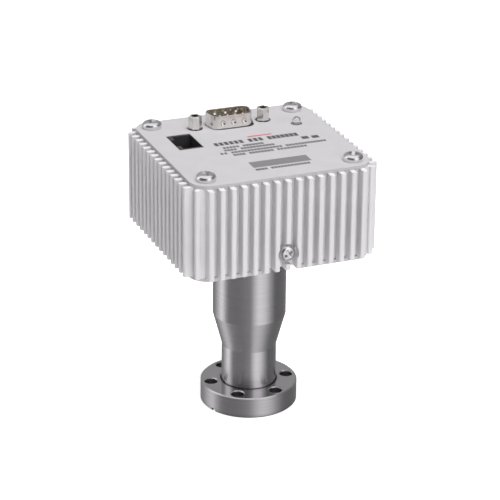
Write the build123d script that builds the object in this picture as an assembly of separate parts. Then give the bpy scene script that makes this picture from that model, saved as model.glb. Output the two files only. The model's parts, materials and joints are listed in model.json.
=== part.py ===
from build123d import *
import math
import os

# Hot cathode ionization gauge with its electronics on top of the sensor tube.
# Millimetres. The origin is the centre of the vacuum flange's sealing face,
# +Z runs up the tube, -Y is the front with the visible side screw.

# Clearances, each per side
FIT = 0.05
LOOSE = 0.25

# How far a cutter starts outside the face it cuts
OVER = 1.0

# Vacuum flange, 1.33 inch knife edge type
FLANGE_D = 33.8
FLANGE_T = 7.6
FLANGE_CHAMFER = 0.4
FLANGE_TURN = -8.0
BOLT_RIM_W = 3.4
BOLT_PCD = FLANGE_D - 2 * BOLT_RIM_W
BOLT_HOLE_D = 4.4
BOLT_COUNT = 6
BOLT_CHAMFER = 0.3
GASKET_RIM_W = 6.2
GASKET_RECESS_D = FLANGE_D - 2 * GASKET_RIM_W
KNIFE_IN = 1.5
KNIFE_D = GASKET_RECESS_D - 2 * KNIFE_IN
KNIFE_TIP_DEPTH = 0.65
KNIFE_ROOT_DEPTH = 1.6
KNIFE_FLANK_DEG = 20.0
SOCKET_DEPTH = 4.0
WELD_RELIEF_W = 0.4
WELD_RELIEF_DEPTH = 0.9
LEAK_GROOVE_W = 1.6
LEAK_GROOVE_DEPTH = 1.0
LEAK_GROOVE_START = 0.5

# Sensor tube, three quarter inch swelling to one inch
TUBE_WALL = 1.65
TUBE_RIM_W = 7.375
LOWER_TUBE_D = FLANGE_D - 2 * TUBE_RIM_W
UPPER_TUBE_D = 25.4
LOWER_BORE_D = LOWER_TUBE_D - 2 * TUBE_WALL
UPPER_BORE_D = UPPER_TUBE_D - 2 * TUBE_WALL
CONE_BOTTOM_Z = 21.5
CONE_TOP_Z = 33.3

# Finned extrusion
HOUSING_W = 68.7
HOUSING_H = 31.3
HOUSING_Z = 62.8
TUBE_IN_HOUSING = 2.4
TUBE_TOP_Z = HOUSING_Z + TUBE_IN_HOUSING
CORNER_R = 8.8
GROOVES = 16
FIRST_GROOVE_IN = 5.5
FIN_PITCH = (HOUSING_W - 2 * FIRST_GROOVE_IN) / (GROOVES - 1)
GROOVE_W = 2.05
GROOVE_DEPTH = 3.7
TIP_R = 0.55
PILLAR_SETBACK = 2.7
PILLAR_HALF = HOUSING_W / 2 - PILLAR_SETBACK
GROOVE_FLOOR = HOUSING_W / 2 - GROOVE_DEPTH
WALL_T = 2.0
CAVITY_HALF = GROOVE_FLOOR - WALL_T
CAVITY_R = 3.0
BOSS_D = 7.2

# Sheet covers
TOP_PLATE_T = 1.2
TOP_PLATE_SETBACK = 2.7
TOP_PLATE_R = 6.3
BASE_PLATE_T = 1.2
BASE_PLATE_SETBACK = 2.7
BASE_PLATE_R = 6.3

# Top cover screws, M3.5 pan head
TOP_SCREW_IN = 8.35
TOP_SCREW_SPACING = HOUSING_W - 2 * TOP_SCREW_IN
TOP_SCREW_D = 3.5
TOP_SCREW_HEAD_D = 6.7
TOP_SCREW_HEAD_H = 2.5
TOP_SCREW_CROWN = 0.7
TOP_SCREW_CROSS_L = 3.7
TOP_SCREW_CROSS_W = 1.05
TOP_SCREW_CROSS_DEPTH = 1.5
TOP_SCREW_L = 10.0
TOP_SCREW_PILOT_DEPTH = 14.0
TOP_SCREW_TURNS = (8, 35, 62, 20)

# Side screws, M3 pan head, and the base plate's upturned tabs, front and back
SIDE_SCREW_UP = 5.7
SIDE_SCREW_Z = HOUSING_Z + SIDE_SCREW_UP
SIDE_SCREW_D = 3.0
SIDE_SCREW_HEAD_D = 5.6
SIDE_SCREW_HEAD_H = 2.3
SIDE_SCREW_CROWN = 0.6
SIDE_SCREW_CROSS_L = 3.1
SIDE_SCREW_CROSS_W = 0.9
SIDE_SCREW_CROSS_DEPTH = 1.3
SIDE_SCREW_L = 7.0
SIDE_SCREW_TURN = 28
COUNTERBORE_D = 7.4
COUNTERBORE_DEPTH = 2.3
COUNTERBORE_FLOOR = HOUSING_W / 2 - COUNTERBORE_DEPTH
TAB_W = 8.8
TAB_RELIEF = 1.0
TAB_OVER_SCREW = 4.6
TAB_TOP_Z = SIDE_SCREW_Z + TAB_OVER_SCREW
TAB_BEND_R = 0.8
TAB_ROOT_L = 2.0
NOTCH_PAST_BEND = 0.6
CLINCH_NUT_D = 5.6
CLINCH_NUT_T = 1.6

# Collar welded round the tube, and its three screws from below
COLLAR_W = 6.3
COLLAR_D = UPPER_TUBE_D + 2 * COLLAR_W
COLLAR_H = 3.6
COLLAR_CHAMFER = 0.5
COLLAR_SCREW_OUT = 3.2
COLLAR_SCREW_PCD = UPPER_TUBE_D + 2 * COLLAR_SCREW_OUT
COLLAR_SCREW_COUNT = 3
COLLAR_SCREW_D = 3.0
COLLAR_SCREW_HEAD_D = 5.6
COLLAR_SCREW_HEAD_H = 2.3
COLLAR_SCREW_REACH = 2.8
COLLAR_SCREW_START_DEG = 90

# Feedthrough header
HEADER_LIP_IN = 0.5
HEADER_LIP_D = UPPER_TUBE_D - 2 * HEADER_LIP_IN
HEADER_LIP_T = 0.8
HEADER_PLUG_T = 2.4
HEADER_RING_W = 1.35
GLASS_D = UPPER_BORE_D - 2 * HEADER_RING_W
PIN_D = 0.8
PIN_OVER_BOARD = 1.0

# Electrodes, hanging from the header
FILAMENT_PIN_IN = 1.5
FILAMENT_PIN_R = GLASS_D / 2 - FILAMENT_PIN_IN
GRID_TO_FILAMENT = 3.0
GRID_R = FILAMENT_PIN_R - GRID_TO_FILAMENT
GRID_WIRE_D = 0.4
GRID_PITCH = 2.5
GRID_TURNS = 9
GRID_STEPS = 16
GRID_WIRE_SIDES = 6
GRID_DOWN = 27.6
GRID_BOTTOM_Z = TUBE_TOP_Z - GRID_DOWN
GRID_PIN_TAIL = 1.0
COLLECTOR_PIN_DOWN = 5.2
COLLECTOR_PIN_BOTTOM_Z = TUBE_TOP_Z - COLLECTOR_PIN_DOWN
COLLECTOR_D = 0.4
COLLECTOR_TAIL = 1.0
COLLECTOR_BOTTOM_Z = GRID_BOTTOM_Z - COLLECTOR_TAIL
FILAMENT_PIN_HALF_DEG = 17.0
FILAMENT_DOWN = 8.2
FILAMENT_TOP_Z = TUBE_TOP_Z - FILAMENT_DOWN
FILAMENT_L = 16.0
FILAMENT_D = 0.2
FILAMENT_BEND_R = 0.9

# Circuit boards and what stands on them
BOARD_T = 1.6
LOWER_STANDOFF_H = 6.2
MAIN_BOARD_Z = HOUSING_Z + LOWER_STANDOFF_H
CONNECTOR_BOARD_DOWN = 13.7
CONNECTOR_BOARD_Z = HOUSING_Z + HOUSING_H - CONNECTOR_BOARD_DOWN - BOARD_T
UPPER_STANDOFF_H = CONNECTOR_BOARD_Z - MAIN_BOARD_Z - BOARD_T
BOARD_GAP_X = 1.65
BOARD_GAP_Y = 4.45
BOARD_X = 2 * (CAVITY_HALF - BOARD_GAP_X)
BOARD_Y = 2 * (CAVITY_HALF - BOARD_GAP_Y)
BOARD_CORNER = 6.2
STANDOFF_IN_X = 6.0
STANDOFF_IN_Y = 3.7
STANDOFF_X = BOARD_X - 2 * STANDOFF_IN_X
STANDOFF_Y = BOARD_Y - 2 * STANDOFF_IN_Y
STANDOFF_AF = 5.0
STANDOFF_HOLE_D = 3.2
STANDOFF_STUD_D = 2.9
STANDOFF_STUD_L = 4.0
STANDOFF_HOLE_SPARE = 0.5
BOARD_SCREW_HEAD_D = 5.6
BOARD_SCREW_HEAD_H = 2.3
CORE_D = 14.0
CORE_HEADROOM = 1.4
CORE_H = UPPER_STANDOFF_H - CORE_HEADROOM
CORE_SLOT_W = 4.0
CORE_SLOT_DEPTH = 2.1
CORE_CHAMFER = 0.5
CORE_EDGE_IN = 7.6
CORE_SHARE = 0.214
CORE_XY = (CORE_SHARE * STANDOFF_X, CORE_EDGE_IN - BOARD_Y / 2)
CAPACITOR_D = 6.3
CAPACITOR_HEADROOM = 1.2
CAPACITOR_H = UPPER_STANDOFF_H - CAPACITOR_HEADROOM
CAPACITOR_PITCH = 7.4
CAPACITOR_EDGE_IN = 6.5
CAPACITOR_XY = (CAPACITOR_EDGE_IN - BOARD_X / 2, 0.0)
CAPACITOR_GROOVE_DEPTH = 0.3
CAPACITOR_GROOVE_H = 0.8
CAPACITOR_GROOVE_UP = 0.8
CAPACITOR_CHAMFER = 0.4
CHIP_W = 10.0
CHIP_H = 1.4
CHIP_LIFT = 0.1
CHIP_LEAD_OUT = 1.0
CHIP_LEADS = 8
CHIP_LEAD_PITCH = 1.1
CHIP_LEAD_W = 0.4
CHIP_EDGE_IN = 8.0
CHIP_SHARE = 0.226
CHIP_XY = (-CHIP_SHARE * STANDOFF_X, CHIP_EDGE_IN - BOARD_Y / 2)
LINK_L = 12.7
LINK_W = 5.0
LINK_EDGE_IN = 6.0
LINK_XY = (BOARD_X / 2 - LINK_EDGE_IN, 1.0)

# Nine way D-sub plug
DSUB_BACK_IN = 14.25
DSUB_XY = (0.0, HOUSING_W / 2 - DSUB_BACK_IN)
DSUB_WIDE = 16.92
DSUB_DEPTH = 8.36
DSUB_SLOPE_DEG = 10.0
DSUB_CORNER_R = 2.6
DSUB_WALL = 0.5
DSUB_SHELL_H = 6.0
DSUB_FLANGE_L = 30.8
DSUB_FLANGE_W = 12.5
DSUB_FLANGE_T = 0.8
DSUB_FLANGE_R = 1.5
DSUB_PLATE_GAP = 0.2
DSUB_CUT_GAP = 0.55
DSUB_CUT_SHIFT = 0.4
DIMPLE_R = 1.6
DIMPLE_BULGE = 0.4
DIMPLE_SKIN = 0.35
DIMPLE_PITCH = 3.9
DIMPLE_UP = 3.6
DSUB_PIN_PITCH = 2.77
DSUB_ROW_PITCH = 2.84
DSUB_PIN_D = 1.0
DSUB_PIN_BELOW_RIM = 1.6
DSUB_PIN_CHAMFER = 0.3
DSUB_TAIL_W = 0.6
DSUB_TAIL_OUT = 1.2
DSUB_BODY_L = 19.2
DSUB_BODY_W = 10.4
DSUB_BODY_H = 6.0
DSUB_BODY_R = 0.8
DSUB_FACE_UP = 0.5

# Jack posts and their spacers
POST_SPACING = 24.99
POST_AF = 4.0
POST_H = 6.0
POST_HOLE_D = 2.3
POST_HOLE_DEPTH = 4.5
POST_CHAMFER = 0.25
POST_STUD_D = 2.7
POST_STUD_L = 5.0
POST_CLEAR_D = 5.4
POST_TURN = 12.0
SPACER_D = 4.6

# Eight way modular jack
JACK_SIDE_IN = 14.0
JACK_FROM_DSUB = 11.05
JACK_XY = (JACK_SIDE_IN - HOUSING_W / 2, DSUB_XY[1] - JACK_FROM_DSUB)
JACK_CUT_X = 8.6
JACK_CUT_Y = 13.9
JACK_BODY_LEFT = 5.6
JACK_BODY_RIGHT = 4.6
JACK_BODY_Y = 15.2
JACK_MOUTH_X = 6.6
JACK_MOUTH_Y = 11.7
JACK_KEY_X = 1.5
JACK_KEY_Y = 6.0
JACK_DEPTH = 11.4
JACK_PLATE_GAP = 0.2
JACK_NOSE_DOWN = 0.05
JACK_EDGE_R = 0.4
JACK_WAYS = 8
JACK_CONTACT_PITCH = 1.02
JACK_CONTACT_W = 0.35
JACK_CONTACT_DOWN = 3.4
JACK_CONTACT_SLANT_X = 2.9
JACK_CONTACT_SLANT_Z = 5.0
JACK_CONTACT_WALL = 0.6
JACK_TAIL_OUT = 1.2

# Indicator lamp
LED_SIDE_IN = 12.35
LED_FROM_DSUB = 7.5
LED_XY = (HOUSING_W / 2 - LED_SIDE_IN, DSUB_XY[1] - LED_FROM_DSUB)
LED_D = 3.0
LED_RIM_D = 3.7
LED_RIM_T = 0.8
LED_OVER_PLATE = 2.5
LED_BODY_H = 5.3
LED_HOLE_D = 3.9
LED_LEAD_PITCH = 2.0
LED_LEAD_W = 0.45
LED_LEAD_OUT = 1.2
LED_SPACER_D = 4.4
LED_SPACER_BORE_D = 3.2

# Levels that follow
HOUSING_TOP_Z = HOUSING_Z + HOUSING_H
PLATE_TOP_Z = HOUSING_TOP_Z + TOP_PLATE_T
BASE_Z = HOUSING_Z - BASE_PLATE_T
TUBE_SEAT_Z = FLANGE_T - SOCKET_DEPTH
HEADER_TOP_Z = TUBE_TOP_Z + HEADER_LIP_T
HEADER_BOTTOM_Z = TUBE_TOP_Z - HEADER_PLUG_T
MAIN_BOARD_TOP_Z = MAIN_BOARD_Z + BOARD_T
CONNECTOR_BOARD_TOP_Z = CONNECTOR_BOARD_Z + BOARD_T
PIN_TOP_Z = MAIN_BOARD_TOP_Z + PIN_OVER_BOARD
GRID_PIN_R = GRID_R + GRID_WIRE_D / 2 + PIN_D / 2 + FIT
DSUB_FLANGE_TOP_Z = HOUSING_TOP_Z - DSUB_PLATE_GAP
DSUB_FLANGE_Z = DSUB_FLANGE_TOP_Z - DSUB_FLANGE_T
DSUB_RIM_Z = DSUB_FLANGE_TOP_Z + DSUB_SHELL_H
JACK_TOP_Z = HOUSING_TOP_Z - JACK_PLATE_GAP
JACK_NOSE_H = PLATE_TOP_Z - JACK_NOSE_DOWN - JACK_TOP_Z
LED_BOTTOM_Z = PLATE_TOP_Z + LED_OVER_PLATE - LED_BODY_H


def corners(span_x, span_y):
    """The four corners of a rectangle about the axis."""
    return [(sx * span_x / 2, sy * span_y / 2) for sx in (-1, 1) for sy in (-1, 1)]


def polar(radius, degrees):
    """A point at a radius and an angle from +X."""
    return (radius * math.cos(math.radians(degrees)), radius * math.sin(math.radians(degrees)))


def rod(diameter, bottom, top):
    """A round bar on the Z axis between two levels."""
    return Pos(0, 0, bottom) * extrude(Circle(diameter / 2), top - bottom)


def plain_screw(thread_d, length, head_d, head_h):
    """A screw, tip down, with its seat at the origin."""
    return rod(head_d, 0, head_h) + rod(thread_d, -length, 0)


def crown(screw, drop):
    """The same screw with the edge of its head taken down."""
    return chamfer(screw.edges().group_by(Axis.Z)[-1], drop)


def cross_recess(length, width, bottom, top):
    cross = Rectangle(length, width) + Rectangle(width, length)
    return Pos(0, 0, bottom) * extrude(cross, top - bottom)


def flange_profile():
    """Half section of the flange with its knife edge, in the XZ plane."""
    outer = FLANGE_D / 2
    recess = GASKET_RECESS_D / 2
    tip = KNIFE_D / 2
    bore = LOWER_BORE_D / 2
    socket = LOWER_TUBE_D / 2 + FIT
    flank_z = KNIFE_TIP_DEPTH + (recess - tip) * math.tan(math.radians(KNIFE_FLANK_DEG))
    relief_z = FLANGE_T - WELD_RELIEF_DEPTH
    points = [
        (outer - FLANGE_CHAMFER, 0),
        (recess, 0),
        (recess, flank_z),
        (tip, KNIFE_TIP_DEPTH),
        (tip, KNIFE_ROOT_DEPTH),
        (bore, KNIFE_ROOT_DEPTH),
        (bore, TUBE_SEAT_Z),
        (socket, TUBE_SEAT_Z),
        (socket, relief_z),
        (socket + WELD_RELIEF_W, relief_z),
        (socket + WELD_RELIEF_W, FLANGE_T),
        (outer - FLANGE_CHAMFER, FLANGE_T),
        (outer, FLANGE_T - FLANGE_CHAMFER),
        (outer, FLANGE_CHAMFER),
    ]
    return Plane.XZ * make_face(Polyline(*points, close=True))


def cf_flange():
    body = revolve(flange_profile(), Axis.Z)
    hole_r = BOLT_HOLE_D / 2
    seat = (Align.CENTER, Align.CENTER, Align.MAX)
    sink = Cone(hole_r, hole_r + BOLT_CHAMFER, BOLT_CHAMFER, align=seat)
    hole = rod(BOLT_HOLE_D, 0, FLANGE_T) + Pos(0, 0, FLANGE_T) * sink
    for k in range(BOLT_COUNT):
        x, y = polar(BOLT_PCD / 2, FLANGE_TURN + k * 360 / BOLT_COUNT)
        body -= Pos(x, y, 0) * hole
    start = GASKET_RECESS_D / 2 - LEAK_GROOVE_START
    groove = Pos(start, 0) * Rectangle(FLANGE_D / 2, LEAK_GROOVE_W, align=(Align.MIN, Align.CENTER))
    half_step = 180 / BOLT_COUNT
    for side in (0, 180):
        body -= Rot(0, 0, FLANGE_TURN + half_step + side) * extrude(groove, LEAK_GROOVE_DEPTH)
    return body


def sensor_tube():
    lower = LOWER_TUBE_D / 2
    upper = UPPER_TUBE_D / 2
    outside = [
        (lower, TUBE_SEAT_Z),
        (lower, CONE_BOTTOM_Z),
        (upper, CONE_TOP_Z),
        (upper, TUBE_TOP_Z),
    ]
    inside = [(x - TUBE_WALL, z) for x, z in reversed(outside)]
    face = make_face(Polyline(*outside, *inside, close=True))
    return revolve(Plane.XZ * face, Axis.Z)


def extrusion_profile():
    """Section of the finned extrusion with its square corner pillars and screw bosses."""
    body = RectangleRounded(HOUSING_W, HOUSING_W, CORNER_R)
    groove = Rectangle(GROOVE_W, 2 * GROOVE_DEPTH)
    cuts = []
    for face in range(4):
        for k in range(GROOVES):
            x = (k - (GROOVES - 1) / 2) * FIN_PITCH
            cuts.append(Rot(0, 0, 90 * face) * Pos(x, HOUSING_W / 2) * groove)
    body -= cuts
    outside_pillar = Rectangle(2 * FIRST_GROOVE_IN, 2 * FIRST_GROOVE_IN)
    pillars = Rectangle(2 * PILLAR_HALF, 2 * PILLAR_HALF)
    body -= [Pos(x, y) * outside_pillar - pillars for x, y in corners(HOUSING_W, HOUSING_W)]
    tips = [v for v in body.vertices() if max(abs(v.X), abs(v.Y)) > PILLAR_HALF - TIP_R]
    body = fillet(tips, TIP_R)
    body -= RectangleRounded(2 * CAVITY_HALF, 2 * CAVITY_HALF, CAVITY_R)
    spots = corners(TOP_SCREW_SPACING, TOP_SCREW_SPACING)
    body += [Pos(x, y) * Circle(BOSS_D / 2) for x, y in spots]
    return body


def finned_housing():
    body = Pos(0, 0, HOUSING_Z) * extrude(extrusion_profile(), HOUSING_H)
    pilot = rod(TOP_SCREW_D + 2 * FIT, HOUSING_TOP_Z - TOP_SCREW_PILOT_DEPTH, HOUSING_TOP_Z)
    for x, y in corners(TOP_SCREW_SPACING, TOP_SCREW_SPACING):
        body -= Pos(x, y, 0) * pilot
    pocket = rod(COUNTERBORE_D, COUNTERBORE_FLOOR, HOUSING_W / 2 + OVER)
    through = rod(SIDE_SCREW_D + 2 * LOOSE, CAVITY_HALF - OVER, COUNTERBORE_FLOOR + OVER)
    for turn in (0, 180):
        body -= Rot(0, 0, turn) * Pos(0, 0, SIDE_SCREW_Z) * Rot(90, 0, 0) * (pocket + through)
    return body


def d_shape(grow):
    """The D-sub outline, wide side at +Y, offset outwards by grow."""
    half = DSUB_DEPTH / 2
    lean = math.tan(math.radians(DSUB_SLOPE_DEG))
    middle = DSUB_WIDE / 2 - half * lean
    out = grow / math.cos(math.radians(DSUB_SLOPE_DEG))
    reach = half + grow
    wide = middle + reach * lean + out
    narrow = middle - reach * lean + out
    points = [(-wide, reach), (wide, reach), (narrow, -reach), (-narrow, -reach)]
    face = make_face(Polyline(*points, close=True))
    return fillet(face.vertices(), DSUB_CORNER_R + grow)


def top_plate():
    side = HOUSING_W - 2 * TOP_PLATE_SETBACK
    sheet = RectangleRounded(side, side, TOP_PLATE_R)
    sheet -= Pos(*JACK_XY) * Rectangle(JACK_CUT_X, JACK_CUT_Y)
    sheet -= Pos(DSUB_XY[0] + DSUB_CUT_SHIFT, DSUB_XY[1]) * d_shape(DSUB_CUT_GAP)
    for side_x in (-1, 1):
        sheet -= Pos(DSUB_XY[0] + side_x * POST_SPACING / 2, DSUB_XY[1]) * Circle(POST_CLEAR_D / 2)
    sheet -= Pos(*LED_XY) * Circle(LED_HOLE_D / 2)
    for x, y in corners(TOP_SCREW_SPACING, TOP_SCREW_SPACING):
        sheet -= Pos(x, y) * Circle(TOP_SCREW_D / 2 + LOOSE)
    return Pos(0, 0, HOUSING_TOP_Z) * extrude(sheet, TOP_PLATE_T)


def top_screws():
    top = TOP_SCREW_HEAD_H
    screw = crown(plain_screw(TOP_SCREW_D, TOP_SCREW_L, TOP_SCREW_HEAD_D, top), TOP_SCREW_CROWN)
    screw -= cross_recess(TOP_SCREW_CROSS_L, TOP_SCREW_CROSS_W, top - TOP_SCREW_CROSS_DEPTH, top)
    screws = []
    for (x, y), turn in zip(corners(TOP_SCREW_SPACING, TOP_SCREW_SPACING), TOP_SCREW_TURNS):
        screws.append(Pos(x, y, PLATE_TOP_Z) * Rot(0, 0, turn) * screw)
    return screws


def upturned_tab():
    """The front tab with its bend, as a folded strip of the base sheet."""
    face_y = CAVITY_HALF - FIT
    outer_r = TAB_BEND_R + BASE_PLATE_T
    inner_y = face_y - outer_r - TAB_ROOT_L
    points = [
        (-inner_y, BASE_Z),
        (-face_y, BASE_Z),
        (-face_y, TAB_TOP_Z),
        (-face_y + BASE_PLATE_T, TAB_TOP_Z),
        (-face_y + BASE_PLATE_T, HOUSING_Z),
        (-inner_y, HOUSING_Z),
    ]
    section = make_face(Polyline(*points, close=True))
    outer_bend = section.vertices().sort_by_distance((-face_y, BASE_Z))[0]
    section = fillet(outer_bend, outer_r)
    inner_bend = section.vertices().sort_by_distance((-face_y + BASE_PLATE_T, HOUSING_Z))[0]
    section = fillet(inner_bend, TAB_BEND_R)
    return extrude(Plane.YZ * section, TAB_W / 2, both=True)


def collar_screw_spots():
    turns = [COLLAR_SCREW_START_DEG + k * 360 / COLLAR_SCREW_COUNT for k in range(COLLAR_SCREW_COUNT)]
    return [polar(COLLAR_SCREW_PCD / 2, turn) for turn in turns]


def base_plate():
    side = HOUSING_W - 2 * BASE_PLATE_SETBACK
    sheet = RectangleRounded(side, side, BASE_PLATE_R)
    sheet -= Circle(UPPER_TUBE_D / 2 + LOOSE)
    notch_in = CAVITY_HALF - FIT - TAB_BEND_R - BASE_PLATE_T - NOTCH_PAST_BEND
    notch = Rectangle(TAB_W + 2 * TAB_RELIEF, side, align=(Align.CENTER, Align.MIN))
    for turn in (0, 180):
        sheet -= Rot(0, 0, turn) * Pos(0, notch_in) * notch
    for x, y in collar_screw_spots():
        sheet -= Pos(x, y) * Circle(COLLAR_SCREW_D / 2 + LOOSE)
    body = Pos(0, 0, BASE_Z) * extrude(sheet, BASE_PLATE_T)
    hole = rod(SIDE_SCREW_D + 2 * FIT, CAVITY_HALF - BASE_PLATE_T - OVER, CAVITY_HALF + OVER)
    tab = upturned_tab() - Pos(0, 0, SIDE_SCREW_Z) * Rot(90, 0, 0) * hole
    for turn in (0, 180):
        body += Rot(0, 0, turn) * tab
    return body


def side_screws():
    top = SIDE_SCREW_HEAD_H
    screw = crown(plain_screw(SIDE_SCREW_D, SIDE_SCREW_L, SIDE_SCREW_HEAD_D, top), SIDE_SCREW_CROWN)
    screw -= cross_recess(SIDE_SCREW_CROSS_L, SIDE_SCREW_CROSS_W, top - SIDE_SCREW_CROSS_DEPTH, top)
    front = Pos(0, -COUNTERBORE_FLOOR, SIDE_SCREW_Z) * Rot(90, 0, 0) * Rot(0, 0, SIDE_SCREW_TURN) * screw
    return [front, Rot(0, 0, 180) * front]


def clinch_nuts():
    seat = CAVITY_HALF - FIT - BASE_PLATE_T
    nut = rod(CLINCH_NUT_D, seat - CLINCH_NUT_T, seat)
    nut -= rod(SIDE_SCREW_D + 2 * FIT, seat - CLINCH_NUT_T - OVER, seat + OVER)
    front = Pos(0, 0, SIDE_SCREW_Z) * Rot(90, 0, 0) * nut
    return [front, Rot(0, 0, 180) * front]


def mounting_collar():
    blank = rod(COLLAR_D, HOUSING_Z, HOUSING_Z + COLLAR_H)
    body = chamfer(blank.edges().group_by(Axis.Z)[-1], COLLAR_CHAMFER)
    body -= rod(UPPER_TUBE_D + 2 * FIT, HOUSING_Z - OVER, HOUSING_Z + COLLAR_H + OVER)
    for x, y in collar_screw_spots():
        body -= Pos(x, y, 0) * rod(COLLAR_SCREW_D + 2 * FIT, HOUSING_Z - OVER, HOUSING_Z + COLLAR_H + OVER)
    return body


def collar_screws():
    length = BASE_PLATE_T + COLLAR_SCREW_REACH
    screw = plain_screw(COLLAR_SCREW_D, length, COLLAR_SCREW_HEAD_D, COLLAR_SCREW_HEAD_H)
    return [Pos(x, y, BASE_Z) * Rot(180, 0, 0) * screw for x, y in collar_screw_spots()]


def filament_spots():
    """Short pin and long pin places of the two filaments, front and back."""
    pairs = []
    for side in (90, 270):
        short = polar(FILAMENT_PIN_R, side - FILAMENT_PIN_HALF_DEG)
        long = polar(FILAMENT_PIN_R, side + FILAMENT_PIN_HALF_DEG)
        pairs.append((short, long))
    return pairs


def pin_spots():
    spots = [(0, 0), (GRID_PIN_R, 0), (-GRID_PIN_R, 0)]
    for short, long in filament_spots():
        spots.append(short)
        spots.append(long)
    return spots


def feedthrough_header():
    """Metal ring that plugs the tube, with a lip on the tube's end."""
    plug = rod(UPPER_BORE_D - 2 * FIT, HEADER_BOTTOM_Z, TUBE_TOP_Z)
    lip = rod(HEADER_LIP_D, TUBE_TOP_Z, HEADER_TOP_Z)
    return plug + lip - rod(GLASS_D, HEADER_BOTTOM_Z - OVER, HEADER_TOP_Z + OVER)


def feedthrough_glass():
    """Glass disc fused into the ring, with the pins through it."""
    disc = rod(GLASS_D - 2 * FIT, HEADER_BOTTOM_Z, HEADER_TOP_Z)
    for x, y in pin_spots():
        disc -= Pos(x, y, 0) * rod(PIN_D + 2 * FIT, HEADER_BOTTOM_Z - OVER, HEADER_TOP_Z + OVER)
    return disc


def straight_pin(bottom):
    """A feedthrough pin from a level in the tube to just above the main board."""
    return rod(PIN_D, bottom, PIN_TOP_Z)


def collector_pin():
    return straight_pin(COLLECTOR_PIN_BOTTOM_Z)


def ion_collector():
    return rod(COLLECTOR_D, COLLECTOR_BOTTOM_Z, COLLECTOR_PIN_BOTTOM_Z)


def grid_pins():
    pin = straight_pin(GRID_BOTTOM_Z - GRID_PIN_TAIL)
    return [Pos(GRID_PIN_R, 0, 0) * pin, Pos(-GRID_PIN_R, 0, 0) * pin]


def anode_grid():
    """Wire coil between the two grid pins, its turns in short straight steps."""
    points = []
    for k in range(GRID_TURNS * GRID_STEPS + 1):
        x, y = polar(GRID_R, k * 360 / GRID_STEPS)
        points.append((x, y, GRID_BOTTOM_Z + k * GRID_PITCH / GRID_STEPS))
    path = Polyline(*points)
    section = (path ^ 0) * RegularPolygon(GRID_WIRE_D / 2, GRID_WIRE_SIDES)
    return sweep(section, path, transition=Transition.RIGHT)


def short_filament_pins():
    pin = straight_pin(FILAMENT_TOP_Z)
    return [Pos(short[0], short[1], 0) * pin for short, long in filament_spots()]


def long_filament_pins():
    """Pins that run past the filament and turn in under its lower end."""
    leg_z = FILAMENT_TOP_Z - FILAMENT_L - PIN_D / 2
    pins = []
    for short, long in filament_spots():
        points = [(long[0], long[1], PIN_TOP_Z), (long[0], long[1], leg_z), (short[0], short[1], leg_z)]
        path = FilletPolyline(*points, radius=FILAMENT_BEND_R)
        end = Pos(long[0], long[1], PIN_TOP_Z) * Circle(PIN_D / 2)
        pins.append(sweep(end, path))
    return pins


def filaments():
    strand = rod(FILAMENT_D, FILAMENT_TOP_Z - FILAMENT_L, FILAMENT_TOP_Z)
    return [Pos(short[0], short[1], 0) * strand for short, long in filament_spots()]


def board_outline():
    board = Rectangle(BOARD_X, BOARD_Y)
    board = chamfer(board.vertices(), BOARD_CORNER)
    for x, y in corners(STANDOFF_X, STANDOFF_Y):
        board -= Pos(x, y) * Circle(STANDOFF_HOLE_D / 2)
    return board


def main_board():
    board = board_outline()
    for x, y in pin_spots():
        board -= Pos(x, y) * Circle(PIN_D / 2 + LOOSE)
    return Pos(0, 0, MAIN_BOARD_Z) * extrude(board, BOARD_T)


def dsub_pin_spots():
    upper = [(k * DSUB_PIN_PITCH, DSUB_ROW_PITCH / 2) for k in (-2, -1, 0, 1, 2)]
    lower = [(k * DSUB_PIN_PITCH, -DSUB_ROW_PITCH / 2) for k in (-1.5, -0.5, 0.5, 1.5)]
    return [(DSUB_XY[0] + x, DSUB_XY[1] + y) for x, y in upper + lower]


def jack_mouth_middle_x():
    """Middle of the plug's mouth: mouth and latch key together are centred in the cut-out."""
    return JACK_XY[0] + JACK_KEY_X / 2


def jack_contact_spots():
    x = jack_mouth_middle_x() + JACK_MOUTH_X / 2 - JACK_CONTACT_WALL
    first = -(JACK_WAYS - 1) / 2
    return [(x, JACK_XY[1] + (first + k) * JACK_CONTACT_PITCH) for k in range(JACK_WAYS)]


def led_lead_spots():
    return [(LED_XY[0] + side * LED_LEAD_PITCH / 2, LED_XY[1]) for side in (-1, 1)]


def square_holes(spots, lead_w):
    """Sketches of the holes for square leads."""
    side = lead_w + 2 * FIT
    return [Pos(x, y) * Rectangle(side, side) for x, y in spots]


def connector_board():
    board = board_outline()
    board -= square_holes(dsub_pin_spots(), DSUB_TAIL_W)
    board -= square_holes(jack_contact_spots(), JACK_CONTACT_W)
    board -= square_holes(led_lead_spots(), LED_LEAD_W)
    return Pos(0, 0, CONNECTOR_BOARD_Z) * extrude(board, BOARD_T)


def hex_standoff(bottom, top):
    hexagon = RegularPolygon(STANDOFF_AF / 2, 6, major_radius=False)
    return Pos(0, 0, bottom) * extrude(hexagon, top - bottom)


def lower_standoffs():
    """Pressed into the base sheet and tapped from the top."""
    post = hex_standoff(HOUSING_Z, MAIN_BOARD_Z)
    depth = STANDOFF_STUD_L + STANDOFF_HOLE_SPARE
    post -= rod(STANDOFF_STUD_D + 2 * FIT, MAIN_BOARD_Z - depth, MAIN_BOARD_Z)
    return [Pos(x, y, 0) * post for x, y in corners(STANDOFF_X, STANDOFF_Y)]


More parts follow.
